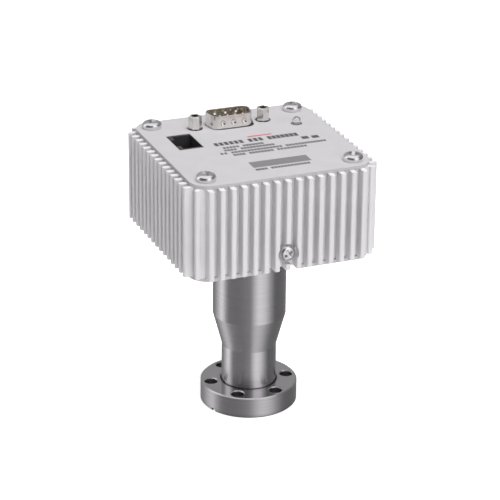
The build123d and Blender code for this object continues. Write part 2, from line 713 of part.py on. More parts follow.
def upper_standoffs():
    """Male and female: a stud below clamps the main board, a tapped hole above."""
    post = hex_standoff(MAIN_BOARD_TOP_Z, CONNECTOR_BOARD_Z)
    post += rod(STANDOFF_STUD_D, MAIN_BOARD_TOP_Z - BOARD_T - STANDOFF_STUD_L, MAIN_BOARD_TOP_Z)
    depth = STANDOFF_STUD_L + STANDOFF_HOLE_SPARE
    post -= rod(STANDOFF_STUD_D + 2 * FIT, CONNECTOR_BOARD_Z - depth, CONNECTOR_BOARD_Z)
    return [Pos(x, y, 0) * post for x, y in corners(STANDOFF_X, STANDOFF_Y)]


def board_screws():
    length = BOARD_T + STANDOFF_STUD_L
    screw = plain_screw(STANDOFF_STUD_D, length, BOARD_SCREW_HEAD_D, BOARD_SCREW_HEAD_H)
    return [Pos(x, y, CONNECTOR_BOARD_TOP_Z) * screw for x, y in corners(STANDOFF_X, STANDOFF_Y)]


def transformer_core():
    """Pot core of the high voltage converter with a lead slot in each side."""
    core = rod(CORE_D, MAIN_BOARD_TOP_Z, MAIN_BOARD_TOP_Z + CORE_H)
    core = chamfer(core.edges().group_by(Axis.Z)[-1], CORE_CHAMFER)
    slot = Box(CORE_SLOT_W, 2 * CORE_SLOT_DEPTH, CORE_H)
    for side in (-1, 1):
        core -= Pos(0, side * CORE_D / 2, MAIN_BOARD_TOP_Z + CORE_H / 2) * slot
    return Pos(CORE_XY[0], CORE_XY[1], 0) * core


def capacitors():
    """Electrolytic cans with the rolled groove above the base."""
    radius = CAPACITOR_D / 2
    neck = radius - CAPACITOR_GROOVE_DEPTH
    base = MAIN_BOARD_TOP_Z
    top = base + CAPACITOR_H
    groove_z = base + CAPACITOR_GROOVE_UP
    points = [
        (0, base),
        (radius, base),
        (radius, groove_z),
        (neck, groove_z + CAPACITOR_GROOVE_H / 2),
        (radius, groove_z + CAPACITOR_GROOVE_H),
        (radius, top - CAPACITOR_CHAMFER),
        (radius - CAPACITOR_CHAMFER, top),
        (0, top),
    ]
    can = revolve(Plane.XZ * make_face(Polyline(*points, close=True)), Axis.Z)
    x, y = CAPACITOR_XY
    return [Pos(x, y + k * CAPACITOR_PITCH, 0) * can for k in (-1, 0, 1)]


def control_chip():
    """Flat package with leads on two sides, standing on its lead feet."""
    base = MAIN_BOARD_TOP_Z
    body = Pos(0, 0, base + CHIP_LIFT) * extrude(Rectangle(CHIP_W, CHIP_W), CHIP_H)
    foot = Rectangle(CHIP_LEAD_W, CHIP_LEAD_OUT, align=(Align.CENTER, Align.MIN))
    lead = extrude(foot, CHIP_LIFT + CHIP_H / 2)
    for turn in (0, 180):
        for k in range(CHIP_LEADS):
            x = (k - (CHIP_LEADS - 1) / 2) * CHIP_LEAD_PITCH
            body += Rot(0, 0, turn) * Pos(x, CHIP_W / 2, base) * lead
    return Pos(CHIP_XY[0], CHIP_XY[1], 0) * body


def board_link():
    """Stacking connector between the two boards."""
    block = extrude(Rectangle(LINK_W, LINK_L), CONNECTOR_BOARD_Z - MAIN_BOARD_TOP_Z)
    return Pos(LINK_XY[0], LINK_XY[1], MAIN_BOARD_TOP_Z) * block


def dsub_shell():
    """Drawn steel shell: flange, D shaped collar and grounding dimples."""
    flange = RectangleRounded(DSUB_FLANGE_L, DSUB_FLANGE_W, DSUB_FLANGE_R)
    for side in (-1, 1):
        flange -= Pos(side * POST_SPACING / 2, 0) * Circle(POST_STUD_D / 2 + LOOSE)
    outer = d_shape(0)
    inner = d_shape(-DSUB_WALL)
    collar_h = DSUB_FLANGE_T + DSUB_SHELL_H
    solid = extrude(outer, collar_h)
    shell = extrude(flange, DSUB_FLANGE_T) + solid - extrude(inner, collar_h)
    reach = DIMPLE_R - DIMPLE_BULGE
    for side in (-1, 1):
        y = side * (DSUB_DEPTH / 2 - DSUB_WALL + reach)
        for k in (-1, 0, 1):
            spot = Pos(k * DIMPLE_PITCH, y, DSUB_FLANGE_T + DIMPLE_UP)
            shell += (spot * Sphere(DIMPLE_R)) & solid
            shell -= spot * Sphere(DIMPLE_R - DIMPLE_SKIN)
    return Pos(DSUB_XY[0], DSUB_XY[1], DSUB_FLANGE_Z) * shell


def dsub_insulator():
    tongue_h = DSUB_FLANGE_T + DSUB_FACE_UP
    body = extrude(d_shape(-DSUB_WALL - FIT), tongue_h)
    block = RectangleRounded(DSUB_BODY_L, DSUB_BODY_W, DSUB_BODY_R)
    body += Pos(0, 0, -DSUB_BODY_H) * extrude(block, DSUB_BODY_H)
    body = Pos(DSUB_XY[0], DSUB_XY[1], DSUB_FLANGE_Z) * body
    bottom = DSUB_FLANGE_Z - DSUB_BODY_H
    hole = rod(DSUB_PIN_D + 2 * FIT, bottom - OVER, DSUB_FLANGE_TOP_Z + DSUB_FACE_UP + OVER)
    for x, y in dsub_pin_spots():
        body -= Pos(x, y, 0) * hole
    return body


def dsub_pins():
    """Turned contacts with square tails that go through the connector board."""
    bottom = DSUB_FLANGE_Z - DSUB_BODY_H
    tail_bottom = CONNECTOR_BOARD_Z - DSUB_TAIL_OUT
    pin = rod(DSUB_PIN_D, bottom, DSUB_RIM_Z - DSUB_PIN_BELOW_RIM)
    pin = chamfer(pin.edges().group_by(Axis.Z)[-1], DSUB_PIN_CHAMFER)
    pin += Pos(0, 0, tail_bottom) * extrude(Rectangle(DSUB_TAIL_W, DSUB_TAIL_W), bottom - tail_bottom)
    return [Pos(x, y, 0) * pin for x, y in dsub_pin_spots()]


def dsub_spacers():
    tube = rod(SPACER_D, CONNECTOR_BOARD_TOP_Z, DSUB_FLANGE_Z)
    tube -= rod(POST_STUD_D + 2 * FIT, DSUB_FLANGE_Z - POST_STUD_L, DSUB_FLANGE_Z)
    return [Pos(DSUB_XY[0] + side * POST_SPACING / 2, DSUB_XY[1], 0) * tube for side in (-1, 1)]


def jack_posts():
    """Hexagonal posts that clamp the D-sub flange and take the cable's screws."""
    hexagon = RegularPolygon(POST_AF / 2, 6, major_radius=False)
    post = Pos(0, 0, DSUB_FLANGE_TOP_Z) * extrude(hexagon, POST_H)
    post = chamfer(post.edges().group_by(Axis.Z)[-1], POST_CHAMFER)
    top = DSUB_FLANGE_TOP_Z + POST_H
    post -= rod(POST_HOLE_D, top - POST_HOLE_DEPTH, top)
    post += rod(POST_STUD_D, DSUB_FLANGE_Z - POST_STUD_L + 2 * LOOSE, DSUB_FLANGE_TOP_Z)
    posts = []
    for side in (-1, 1):
        x = DSUB_XY[0] + side * POST_SPACING / 2
        posts.append(Pos(x, DSUB_XY[1], 0) * Rot(0, 0, side * POST_TURN) * post)
    return posts


def modular_jack():
    """Black moulded body whose nose fills the cover's cut-out, with mouth, latch key and contact holes."""
    width = JACK_BODY_LEFT + JACK_BODY_RIGHT
    middle = JACK_XY[0] + (JACK_BODY_RIGHT - JACK_BODY_LEFT) / 2
    height = JACK_TOP_Z - CONNECTOR_BOARD_TOP_Z
    block = Box(width, JACK_BODY_Y, height, align=(Align.CENTER, Align.CENTER, Align.MIN))
    block = fillet(block.edges().filter_by(Axis.Z), JACK_EDGE_R)
    body = Pos(middle, JACK_XY[1], CONNECTOR_BOARD_TOP_Z) * block
    nose = Rectangle(JACK_CUT_X - 2 * FIT, JACK_CUT_Y - 2 * FIT)
    body += Pos(JACK_XY[0], JACK_XY[1], JACK_TOP_Z) * extrude(nose, JACK_NOSE_H)
    mouth_x = jack_mouth_middle_x()
    key_x = mouth_x - JACK_MOUTH_X / 2 - JACK_KEY_X / 2
    mouth = Pos(mouth_x, JACK_XY[1]) * Rectangle(JACK_MOUTH_X, JACK_MOUTH_Y)
    mouth += Pos(key_x, JACK_XY[1]) * Rectangle(JACK_KEY_X, JACK_KEY_Y)
    body -= Pos(0, 0, JACK_TOP_Z - JACK_DEPTH) * extrude(mouth, JACK_DEPTH + JACK_NOSE_H)
    floor_t = JACK_TOP_Z - JACK_DEPTH - CONNECTOR_BOARD_TOP_Z
    for hole in square_holes(jack_contact_spots(), JACK_CONTACT_W):
        body -= Pos(0, 0, CONNECTOR_BOARD_TOP_Z) * extrude(hole, floor_t)
    return body


def jack_contacts():
    """Spring wires: tail through the board, up the wall, then back down into the mouth."""
    bend_z = JACK_TOP_Z - JACK_CONTACT_DOWN
    contacts = []
    for x, y in jack_contact_spots():
        path = Polyline(
            (x, y, CONNECTOR_BOARD_Z - JACK_TAIL_OUT),
            (x, y, bend_z),
            (x - JACK_CONTACT_SLANT_X, y, bend_z - JACK_CONTACT_SLANT_Z),
        )
        start = Pos(x, y, CONNECTOR_BOARD_Z - JACK_TAIL_OUT) * Rectangle(JACK_CONTACT_W, JACK_CONTACT_W)
        contacts.append(sweep(start, path, transition=Transition.RIGHT))
    return contacts


def status_led():
    lens_r = LED_D / 2
    rim_r = LED_RIM_D / 2
    top = LED_BOTTOM_Z + LED_BODY_H
    waist = top - lens_r
    side = Polyline(
        (0, top), (0, LED_BOTTOM_Z), (rim_r, LED_BOTTOM_Z), (rim_r, LED_BOTTOM_Z + LED_RIM_T),
        (lens_r, LED_BOTTOM_Z + LED_RIM_T), (lens_r, waist),
    )
    dome = CenterArc((0, waist), lens_r, 0, 90)
    lens = revolve(Plane.XZ * make_face([side, dome]), Axis.Z)
    return Pos(LED_XY[0], LED_XY[1], 0) * lens


def led_leads():
    bottom = CONNECTOR_BOARD_Z - LED_LEAD_OUT
    lead = Pos(0, 0, bottom) * extrude(Rectangle(LED_LEAD_W, LED_LEAD_W), LED_BOTTOM_Z - bottom)
    return [Pos(x, y, 0) * lead for x, y in led_lead_spots()]


def led_spacer():
    tube = rod(LED_SPACER_D, CONNECTOR_BOARD_TOP_Z, LED_BOTTOM_Z)
    tube -= rod(LED_SPACER_BORE_D, CONNECTOR_BOARD_TOP_Z - OVER, LED_BOTTOM_Z + OVER)
    return Pos(LED_XY[0], LED_XY[1], 0) * tube


PIECES = [
    cf_flange,
    sensor_tube,
    finned_housing,
    top_plate,
    base_plate,
    top_screws,
    side_screws,
    clinch_nuts,
    mounting_collar,
    collar_screws,
    feedthrough_header,
    feedthrough_glass,
    collector_pin,
    ion_collector,
    grid_pins,
    anode_grid,
    short_filament_pins,
    long_filament_pins,
    filaments,
    main_board,
    connector_board,
    lower_standoffs,
    upper_standoffs,
    board_screws,
    transformer_core,
    capacitors,
    control_chip,
    board_link,
    dsub_shell,
    dsub_insulator,
    dsub_pins,
    dsub_spacers,
    jack_posts,
    modular_jack,
    jack_contacts,
    status_led,
    led_leads,
    led_spacer,
]

os.makedirs("parts", exist_ok=True)
for piece in PIECES:
    shape = piece()
    solids = shape if isinstance(shape, list) else [shape]
    bodies = [solid for item in solids for solid in item.solids()]
    name = piece.__name__
    whole = bodies[0] if len(bodies) == 1 else Compound(children=bodies)
    whole.label = name
    export_step(whole, f"parts/{name}.step")
    print(name, len(bodies), round(sum(body.volume for body in bodies), 2))
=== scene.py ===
import json
import math
from typing import NamedTuple

import bmesh
import bpy
from mathutils import Matrix, Vector


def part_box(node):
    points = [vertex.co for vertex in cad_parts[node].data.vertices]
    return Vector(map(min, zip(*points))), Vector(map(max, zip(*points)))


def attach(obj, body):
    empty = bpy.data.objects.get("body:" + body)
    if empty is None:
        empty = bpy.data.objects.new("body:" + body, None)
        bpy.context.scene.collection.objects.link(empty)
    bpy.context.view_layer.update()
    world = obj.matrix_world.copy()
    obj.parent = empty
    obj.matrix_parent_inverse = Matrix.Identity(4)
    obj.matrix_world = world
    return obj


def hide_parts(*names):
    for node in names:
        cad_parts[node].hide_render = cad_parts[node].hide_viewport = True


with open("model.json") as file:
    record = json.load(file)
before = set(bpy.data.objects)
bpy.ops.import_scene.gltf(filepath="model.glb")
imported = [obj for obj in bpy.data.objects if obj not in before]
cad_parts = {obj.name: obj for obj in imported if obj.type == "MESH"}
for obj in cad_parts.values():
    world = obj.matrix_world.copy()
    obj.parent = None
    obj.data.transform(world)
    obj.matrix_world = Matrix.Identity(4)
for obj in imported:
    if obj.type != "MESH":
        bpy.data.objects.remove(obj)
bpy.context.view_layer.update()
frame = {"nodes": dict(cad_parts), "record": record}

# Looks of the hot cathode ionization gauge. Metres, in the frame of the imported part:
# the origin is the centre of the flange's sealing face, +Z runs up the tube and -Y is the front.

MM = 0.001

# The level that the print and the heads of the top screws lie on
PLATE_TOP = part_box("top_plate")[1].z

# Edges sharper than this stay sharp on the pieces made here
CREASE = math.radians(35)


# Node trees and materials

# A full turn of the stretched gloss is 1, and a quarter leads from round the axis to along it
ALONG_AXIS = 0.25
# The sockets of a Mix Shader node, which share one name
FIRST, SECOND = 1, 2


def grey(level):
    return (level, level, level, 1)


def shade(colour, share):
    """A colour times one share."""
    return [level * share for level in colour]


class Nodes:
    """A node tree with short calls to add and join its nodes."""

    def __init__(self, tree):
        self.tree = tree

    def add(self, kind, inputs=None, **settings):
        """A node with its settings; an input is a plain value or another node's output."""
        made = self.tree.nodes.new(kind)
        for key, value in settings.items():
            setattr(made, key, value)
        for key, value in (inputs or {}).items():
            self.feed(made.inputs[key], value)
        return made

    def feed(self, socket, value):
        if isinstance(value, bpy.types.NodeSocket):
            self.tree.links.new(value, socket)
        else:
            socket.default_value = value

    def calculate(self, operation, *values):
        """The result of a Math node."""
        made = self.add("ShaderNodeMath", dict(enumerate(values)), operation=operation)
        return made.outputs["Value"]

    def spread(self, value, low, high, low_in=0.3, high_in=0.7):
        """A value between low_in and high_in stretched to run from low to high."""
        inputs = {
            "Value": value, "From Min": low_in, "From Max": high_in, "To Min": low, "To Max": high,
        }
        return self.add("ShaderNodeMapRange", inputs).outputs["Result"]

    def blend(self, factor, low, high):
        """A colour between two colours, each with its fourth number or another node's output."""
        inputs = {"Factor": factor, "A": low, "B": high}
        return self.add("ShaderNodeMix", inputs, data_type="RGBA").outputs["Result"]


class Graph(Nodes):
    """A new material's nodes."""

    def __init__(self, name):
        self.material = bpy.data.materials.new(name)
        self.material.use_nodes = True
        super().__init__(self.material.node_tree)
        self.shader = self.tree.nodes["Principled BSDF"]

    def surface(self, **inputs):
        """Sets the shader's inputs, spaces in their names written as underscores."""
        for key, value in inputs.items():
            self.feed(self.shader.inputs[key.replace("_", " ")], value)

    def place(self):
        return self.add("ShaderNodeTexCoord").outputs["Object"]

    def stretched(self, scale):
        """Object coordinates in metres times a scale for each axis."""
        inputs = {"Vector": self.place(), "Scale": scale}
        return self.add("ShaderNodeMapping", inputs).outputs["Vector"]

    def noise(self, vector, scale, detail=3.0, roughness=0.5):
        inputs = {"Vector": vector, "Scale": scale, "Detail": detail, "Roughness": roughness}
        return self.add("ShaderNodeTexNoise", inputs).outputs["Fac"]

    def tint(self, factor, low, high):
        """A colour between two plain colours."""
        return self.blend(factor, (*low, 1), (*high, 1))

    def round_axis(self, amount):
        """Stretches the gloss along the axis, as brushing round it does."""
        tangent = self.add("ShaderNodeTangent", direction_type="RADIAL", axis="Z")
        self.surface(Anisotropic=amount, Anisotropic_Rotation=ALONG_AXIS)
        self.surface(Tangent=tangent.outputs["Tangent"])

    def upward(self, upright, level):
        """One value on upright faces, another on level ones."""
        facing = self.add("ShaderNodeNewGeometry").outputs["Normal"]
        rise = self.add("ShaderNodeSeparateXYZ", {"Vector": facing}).outputs["Z"]
        return self.spread(rise, upright, level, low_in=0.5, high_in=0.95)

    def openness(self, reach):
        """0 deep in a bore and 1 on open faces, from ambient occlusion; it masks painted shade."""
        made = self.add("ShaderNodeAmbientOcclusion", {"Distance": reach}, samples=8)
        return self.spread(made.outputs["AO"], 0, 1, low_in=0.15, high_in=0.75)

    def rounded(self, radius):
        """A normal that rounds the edges by a radius."""
        return self.add("ShaderNodeBevel", {"Radius": radius}, samples=6).outputs["Normal"]

    def bump(self, height, distance, strength=1.0, normal=None):
        inputs = {"Height": height, "Distance": distance, "Strength": strength}
        if normal is not None:
            inputs["Normal"] = normal
        return self.add("ShaderNodeBump", inputs).outputs["Normal"]


def painted(name, colour, edge):
    """Light powder coat: slight clouding, fine orange peel, softly rounded edges."""
    graph = Graph(name)
    cloud = graph.noise(graph.place(), scale=140.0, detail=4.0)
    peel = graph.noise(graph.place(), scale=1500.0, detail=2.0)
    grit = graph.noise(graph.place(), scale=5200.0, detail=2.0)
    normal = graph.bump(peel, distance=0.02 * MM, strength=0.5, normal=graph.rounded(edge))
    normal = graph.bump(grit, distance=0.006 * MM, strength=0.5, normal=normal)
    graph.surface(
        Base_Color=graph.tint(graph.spread(cloud, 0, 1), shade(colour, 0.955), colour),
        Roughness=graph.spread(cloud, 0.50, 0.42),
        Specular_IOR_Level=0.4,
        Normal=normal,
    )
    return graph.material


def turned_steel(name, colour, edge):
    """Machined stainless steel: the lathe's rings on its faces, fine lines round its rim, and
    painted shade that darkens the bolt holes and the tube's foot.
    """
    graph = Graph(name)
    lines = graph.noise(graph.stretched((16, 16, 2600)), scale=1.0, roughness=0.6)
    ring = graph.add(
        "ShaderNodeTexWave",
        {"Vector": graph.place(), "Scale": 900.0, "Distortion": 1.2, "Detail": 2.0},
        wave_type="RINGS",
        rings_direction="Z",
    ).outputs["Fac"]
    cloud = graph.noise(graph.place(), scale=150.0)
    normal = graph.bump(ring, distance=0.002 * MM, strength=0.6, normal=graph.rounded(edge))
    normal = graph.bump(lines, distance=0.003 * MM, strength=0.6, normal=normal)
    metal = graph.tint(graph.spread(lines, 0, 1), shade(colour, 0.80), colour)
    # Painted shade: the colour goes dark deep in the bolt holes and where the tube meets the
    # flange, by ambient occlusion.
    bore_shade = (*shade(colour, 0.12), 1)
    polish = graph.spread(cloud, 0.06, 0.09)
    graph.surface(
        Base_Color=graph.blend(graph.openness(4.0 * MM), bore_shade, metal),
        Roughness=graph.calculate("ADD", polish, graph.upward(upright=0.25, level=0.0)),
        Metallic=1.0,
        Normal=normal,
    )
    return graph.material


def brushed_tube(name, colour):
    """Stainless tube brushed round and round: long streaks, a fraction of a millimetre tall."""
    graph = Graph(name)
    fine = graph.noise(graph.stretched((20, 20, 7500)), scale=1.0, roughness=0.6)
    broad = graph.noise(graph.stretched((10, 10, 2400)), scale=1.0, detail=2.0)
    cloud = graph.noise(graph.place(), scale=90.0)
    streak = graph.spread(graph.calculate("ADD", fine, broad), 0, 1, low_in=0.75, high_in=1.25)
    graph.surface(
        Base_Color=graph.tint(streak, shade(colour, 0.88), colour),
        Roughness=graph.spread(cloud, 0.25, 0.28),
        Metallic=1.0,
        Normal=graph.bump(fine, distance=0.004 * MM, strength=0.6),
    )
    graph.round_axis(0.95)
    return graph.material


def plated(name, colour, roughness, edge=0.12 * MM):
    """Bright plating with small clouds of duller metal."""
    graph = Graph(name)
    cloud = graph.noise(graph.place(), scale=700.0, detail=4.0)
    normal = graph.bump(cloud, distance=0.003 * MM, strength=0.3, normal=graph.rounded(edge))
    graph.surface(
        Base_Color=graph.tint(graph.spread(cloud, 0, 1), shade(colour, 0.94), colour),
        Roughness=graph.spread(cloud, *roughness),
        Metallic=1.0,
        Normal=normal,
    )
    return graph.material


def moulded(name, colour, roughness):
    """Moulded plastic with a fine grain."""
    graph = Graph(name)
    grain = graph.noise(graph.place(), scale=3500.0)
    light = [min(1.0, level * 1.25 + 0.004) for level in colour]
    edges = graph.rounded(0.15 * MM)
    graph.surface(
        Base_Color=graph.tint(graph.spread(grain, 0, 1), colour, light),
        Roughness=graph.spread(grain, roughness - 0.06, roughness + 0.08),
        Specular_IOR_Level=0.3,
        Normal=graph.bump(grain, distance=0.01 * MM, strength=0.35, normal=edges),
    )
    return graph.material


def circuit_board(name):
    """Green solder mask over a copper pattern that shows as slightly lighter squares and runs."""
    graph = Graph(name)
    runs = graph.add(
        "ShaderNodeTexBrick",
        {
            "Vector": graph.place(),
            "Color1": (0.012, 0.115, 0.045, 1),
            "Color2": (0.016, 0.14, 0.055, 1),
            "Mortar": (0.022, 0.19, 0.075, 1),
            "Scale": 180.0,
            "Mortar Size": 0.05,
        },
    )
    weave = graph.noise(graph.place(), scale=2600.0, detail=2.0)
    graph.surface(
        Base_Color=runs.outputs["Color"],
        Roughness=graph.spread(weave, 0.28, 0.40),
        Coat_Weight=0.3,
        Normal=graph.bump(runs.outputs["Fac"], distance=0.02 * MM, strength=0.4),
    )
    return graph.material


def glassy(name, colour, roughness, see_through, milk=0.0):
    """Glass or clear plastic with faint haze."""
    graph = Graph(name)
    haze = graph.noise(graph.place(), scale=900.0)
    graph.surface(
        Base_Color=graph.tint(graph.spread(haze, 0, 1), shade(colour, 0.93), colour),
        Roughness=graph.spread(haze, roughness, roughness + 0.08),
        Transmission_Weight=see_through,
        IOR=1.5,
        Subsurface_Weight=milk,
        Subsurface_Radius=(1.0 * MM, 1.0 * MM, 1.0 * MM),
    )
    return graph.material


def sintered(name, colour):
    """Dark sintered ferrite with a pitted face."""
    graph = Graph(name)
    pits = graph.noise(graph.place(), scale=2200.0, detail=5.0, roughness=0.7)
    edges = graph.rounded(0.3 * MM)
    graph.surface(
        Base_Color=graph.tint(graph.spread(pits, 0, 1), shade(colour, 0.7), colour),
        Roughness=graph.spread(pits, 0.5, 0.75),
        Normal=graph.bump(pits, distance=0.03 * MM, strength=0.6, normal=edges),
    )
    return graph.material


def ink(name, colour):
    """Flat print with slightly uneven cover."""
    graph = Graph(name)
    cover = graph.noise(graph.place(), scale=1800.0)
    light = [min(1.0, level * 1.2 + 0.01) for level in colour]
    graph.surface(
        Base_Color=graph.tint(graph.spread(cover, 0, 1), colour, light),
        Roughness=graph.spread(cover, 0.5, 0.65),
        Normal=graph.bump(cover, distance=0.004 * MM, strength=0.5),
    )
    return graph.material


def white_ground(name, glow):
    """The floor's white, which glows for the camera alone and so lights nothing."""
    graph = Graph(name)
    cloud = graph.noise(graph.place(), scale=6.0)
    seen = graph.add("ShaderNodeLightPath").outputs["Is Camera Ray"]
    graph.surface(
        Base_Color=graph.blend(cloud, grey(0.93), grey(0.95)),
        Roughness=graph.spread(cloud, 0.8, 0.9),
        Emission_Color=grey(1),
        Emission_Strength=graph.spread(seen, 0, glow, low_in=0, high_in=1),
    )
    return graph.material


# The record's material slots
SLOTS = {
    "housing_paint": painted("housing_paint", (0.735, 0.719, 0.741), edge=0.22 * MM),
    "cover_paint": painted("cover_paint", (0.535, 0.524, 0.540), edge=0.18 * MM),
    "stainless": turned_steel("stainless", (0.60, 0.583, 0.602), edge=0.15 * MM),
    "stainless_tube": brushed_tube("stainless_tube", (0.662, 0.642, 0.666)),
    "bright_screw": plated("bright_screw", (0.78, 0.765, 0.785), roughness=(0.12, 0.18)),
    "plated_steel": plated("plated_steel", (0.80, 0.775, 0.75), roughness=(0.18, 0.23)),
    "seal_glass": glassy("seal_glass", (0.30, 0.42, 0.38), roughness=0.08, see_through=0.3),
    "alloy_pin": plated("alloy_pin", (0.55, 0.54, 0.52), roughness=(0.28, 0.42), edge=0.05 * MM),
    "hot_wire": plated("hot_wire", (0.33, 0.32, 0.31), roughness=(0.40, 0.55), edge=0.03 * MM),
    "board": circuit_board("board"),
    "nickel_brass": plated("nickel_brass", (0.66, 0.60, 0.48), roughness=(0.25, 0.38)),
    "ferrite": sintered("ferrite", (0.035, 0.035, 0.038)),
    "can_aluminium": plated("can_aluminium", (0.70, 0.71, 0.73), roughness=(0.25, 0.35)),
    "black_plastic": moulded("black_plastic", (0.036, 0.035, 0.037), roughness=0.40),
    "connector_plastic": moulded("connector_plastic", (0.28, 0.27, 0.265), roughness=0.45),
    "gold_contact": plated(
        "gold_contact", (0.80, 0.68, 0.48), roughness=(0.16, 0.28), edge=0.08 * MM
    ),
    "lamp_lens": glassy(
        "lamp_lens", (0.92, 0.92, 0.93), roughness=0.03, see_through=0.88, milk=0.08
    ),
    "tinned_lead": plated("tinned_lead", (0.66, 0.66, 0.66), roughness=(0.3, 0.45), edge=0.04 * MM),
    "white_plastic": moulded("white_plastic", (0.75, 0.75, 0.73), roughness=0.45),
}


def dress_nodes():
    """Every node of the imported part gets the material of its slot."""
    for row in frame["record"]["subparts"]:
        mesh = frame["nodes"][row["node"]].data
        mesh.materials.clear()
        mesh.materials.append(SLOTS[row["material_slot"]])


# Pieces


def link(made):
    """Puts an object into the scene."""
    bpy.context.scene.collection.objects.link(made)
    return made


def smooth(mesh):
    """Smooth faces with sharp creases."""
    mesh.polygons.foreach_set("use_smooth", [True] * len(mesh.polygons))
    mesh.set_sharp_from_angle(angle=CREASE)


def finished_mesh(name, maker):
    """The mesh of a bmesh, which is freed."""
    mesh = bpy.data.meshes.new(name)
    maker.to_mesh(mesh)
    maker.free()
    return mesh


def mesh_piece(name, maker, slot, replaced=(), material=None):
    """A piece from a bmesh, riding on the one body."""
    mesh = finished_mesh(name, maker)
    smooth(mesh)
    mesh.materials.append(material or SLOTS[slot])
    piece = link(bpy.data.objects.new(name, mesh))
    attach(piece, "root")
    if replaced:
        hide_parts(*replaced)
    return piece


# Screws


class ScrewSize(NamedTuple):
    """A pan head screw with a cross recess."""

    head_r: float
    head_h: float
    shank_r: float
    shank_l: float
    arm_l: float  # from the middle of the cross to an arm's end
    arm_w: float  # half the width of an arm
    depth: float  # of the cross below the crown


TOP_SCREW = ScrewSize(
    head_r=3.35 * MM, head_h=2.5 * MM, shank_r=1.75 * MM, shank_l=10.0 * MM,
    arm_l=2.15 * MM, arm_w=0.58 * MM, depth=1.5 * MM,
)
SIDE_SCREW = ScrewSize(
    head_r=2.8 * MM, head_h=2.3 * MM, shank_r=1.5 * MM, shank_l=7.0 * MM,
    arm_l=1.8 * MM, arm_w=0.50 * MM, depth=1.25 * MM,
)
TOP_SCREW_SPACING = 52.0 * MM
# The quarters of the cover with the turn of the cross there, in degrees
TOP_SCREW_TURNS = (((-1, -1), 8), ((-1, 1), 35), ((1, -1), 62), ((1, 1), 20))
SIDE_SCREW_TURN = 28
# Corners of a cut head that are nearer than this become one
WELD = 0.002 * MM


def lathe(maker, profile, matrix, segments=48):
    """A closed turned form from (radius, height) points that start and end on the axis."""
    rings = []
    for radius, height in profile:
        if radius == 0:
            rings.append([maker.verts.new(matrix @ Vector((0, 0, height)))])
            continue
        ring = []
        for k in range(segments):
            turn = 2 * math.pi * k / segments
            spot = Vector((radius * math.cos(turn), radius * math.sin(turn), height))
            ring.append(maker.verts.new(matrix @ spot))
        rings.append(ring)
    for low, high in zip(rings, rings[1:]):
        for k in range(segments):
            after = (k + 1) % segments
            corners = [low[k % len(low)], low[after % len(low)]]
            corners += [high[after % len(high)], high[k % len(high)]]
            face = list(dict.fromkeys(corners))
            if len(face) > 2:
                maker.faces.new(face)


def screw_profile(screw, steps=9):
    """Half section of a pan head screw from its tip to the top of its crown."""
    tip = -screw.shank_l
    rim_h, dome_h = screw.head_h * 0.42, screw.head_h * 0.93
    shoulder = 0.52
    profile = [(0, tip), (screw.shank_r * 0.75, tip), (screw.shank_r, tip + screw.shank_r * 0.35)]
    profile += [(screw.shank_r, 0), (screw.head_r * 0.97, 0), (screw.head_r, screw.head_h * 0.06)]
    profile.append((screw.head_r, rim_h))
    for k in range(1, steps + 1):
        turn = math.pi / 2 * k / steps
        radius = screw.head_r * (shoulder + (1 - shoulder) * math.cos(turn))
        profile.append((radius, rim_h + (dome_h - rim_h) * math.sin(turn)))
    profile += [(screw.head_r * 0.26, screw.head_h * 0.985), (0, screw.head_h)]
    return profile


def cross_cutter(maker, matrix, screw):
    """A cross that narrows towards the bottom, as a cross recess is driven."""
    at_bottom, at_top = 0.35, 1.55
    bottom, top = screw.head_h - screw.depth, screw.head_h + screw.depth
    levels = []
    for z, share in ((bottom, at_bottom), (top, at_top)):
        far, near = screw.arm_l * share, screw.arm_w * (0.7 + 0.3 * share)
        arm = ((far, -near), (far, near), (near, near))
        ring = []
        for quarter in range(4):
            turned = matrix @ Matrix.Rotation(quarter * math.pi / 2, 4, "Z")
            ring += [maker.verts.new(turned @ Vector((x, y, z))) for x, y in arm]
        levels.append(ring)
        inner = ring[2::3]
        maker.faces.new(inner)
        for k in range(0, len(ring), 3):
            maker.faces.new([ring[k - 1], ring[k], ring[k + 1], ring[k + 2]])
    low, high = levels
    for k in range(len(low)):
        maker.faces.new((low[k - 1], low[k], high[k], high[k - 1]))


def cut(piece, maker):
    """Takes the form in a bmesh out of a piece for good."""
    cutter = link(bpy.data.objects.new("cutter", finished_mesh("cutter", maker)))
    step = piece.modifiers.new("cut", "BOOLEAN")
    step.operation = "DIFFERENCE"
    step.solver = "EXACT"
    step.object = cutter
    graph = bpy.context.evaluated_depsgraph_get()
    done = bpy.data.meshes.new_from_object(piece.evaluated_get(graph))
    piece.modifiers.clear()
    piece.data = done
    bpy.data.objects.remove(cutter)
    welded = bmesh.new()
    welded.from_mesh(done)
    bmesh.ops.remove_doubles(welded, verts=welded.verts, dist=WELD)
    bmesh.ops.dissolve_degenerate(welded, edges=welded.edges, dist=WELD)
    welded.to_mesh(done)
    welded.free()
    smooth(done)


def screw_set(name, spots, screw, replaced):
    """Pan head screws with a cross recess, in place of the plain ones."""
    heads = bmesh.new()
    crosses = bmesh.new()
    for matrix in spots:
        lathe(heads, screw_profile(screw), matrix)
        cross_cutter(crosses, matrix, screw)
    for maker in (heads, crosses):
        bmesh.ops.recalc_face_normals(maker, faces=maker.faces)
    cut(mesh_piece(name, heads, "bright_screw", replaced), crosses)


def turned_about(axis, degrees):
    return Matrix.Rotation(math.radians(degrees), 4, axis)


